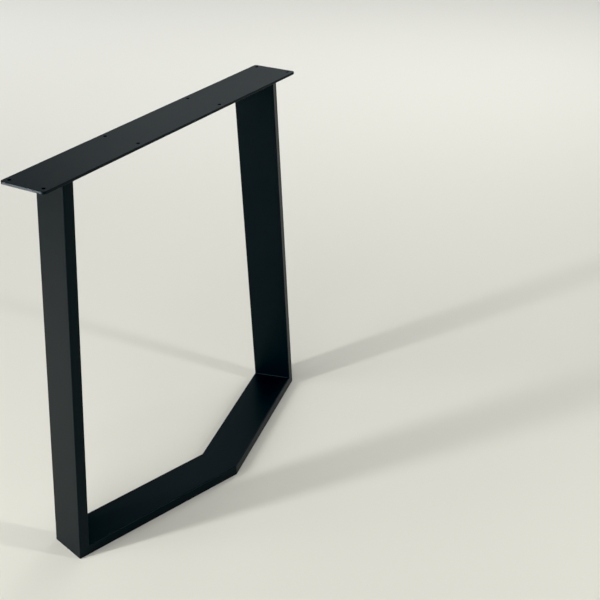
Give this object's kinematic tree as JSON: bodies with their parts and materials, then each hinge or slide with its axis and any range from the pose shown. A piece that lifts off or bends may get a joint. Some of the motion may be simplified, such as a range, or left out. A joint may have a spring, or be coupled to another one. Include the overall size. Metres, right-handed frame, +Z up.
{
  "type": "desk leg",
  "caption": "Free-standing steel desk leg: leaning uprights of flat rectangular tube on a V-shaped foot, welded under a drilled top plate.",
  "frame": {"origin": "on the floor, in the middle of the leg's outline box", "axes": "+X along the top plate, -Y towards the point of the V foot, +Z up to the desk top"},
  "size_m": [0.703, 0.1712, 0.71],
  "materials": {
    "powder_coat": "fine-grained satin black powder coat"
  },
  "bodies": {
    "root": {"top_plate": "powder_coat", "left_upright": "powder_coat", "right_upright": "powder_coat", "left_foot_bar": "powder_coat", "right_foot_bar": "powder_coat", "left_plate_weld": "powder_coat", "right_plate_weld": "powder_coat", "left_corner_weld": "powder_coat", "right_corner_weld": "powder_coat"}
  },
  "joints": []
}
